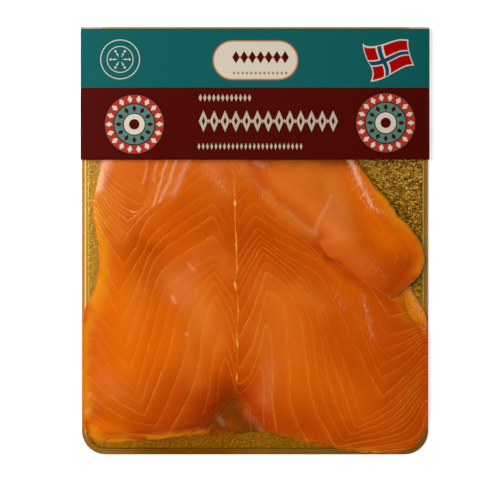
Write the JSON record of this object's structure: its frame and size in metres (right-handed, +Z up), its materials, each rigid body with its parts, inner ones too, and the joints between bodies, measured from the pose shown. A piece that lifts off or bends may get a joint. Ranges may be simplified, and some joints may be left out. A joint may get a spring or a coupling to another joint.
{
  "type": "pack of smoked salmon",
  "caption": "Flat pack of smoked salmon: slices laid on a gold board under clear skin film, with a printed card sleeve round the top end.",
  "frame": {"origin": "centre of the pack's footprint, at the height of the surface that it lies on", "axes": "+Z up out of the shown face, +Y towards the sleeved end, +X to the right of the sleeve's print"},
  "size_m": [0.1914, 0.2344, 0.0096],
  "materials": {
    "gold_board": "embossed gold foil",
    "salmon": "moist cut fish under film",
    "clear_film": "clear gloss",
    "printed_card": "printed satin card"
  },
  "bodies": {
    "root": {"board": "gold_board", "slice_under": "salmon", "slice_main": "salmon", "slice_flap": "salmon", "film": "clear_film", "sleeve": "printed_card"}
  },
  "joints": []
}
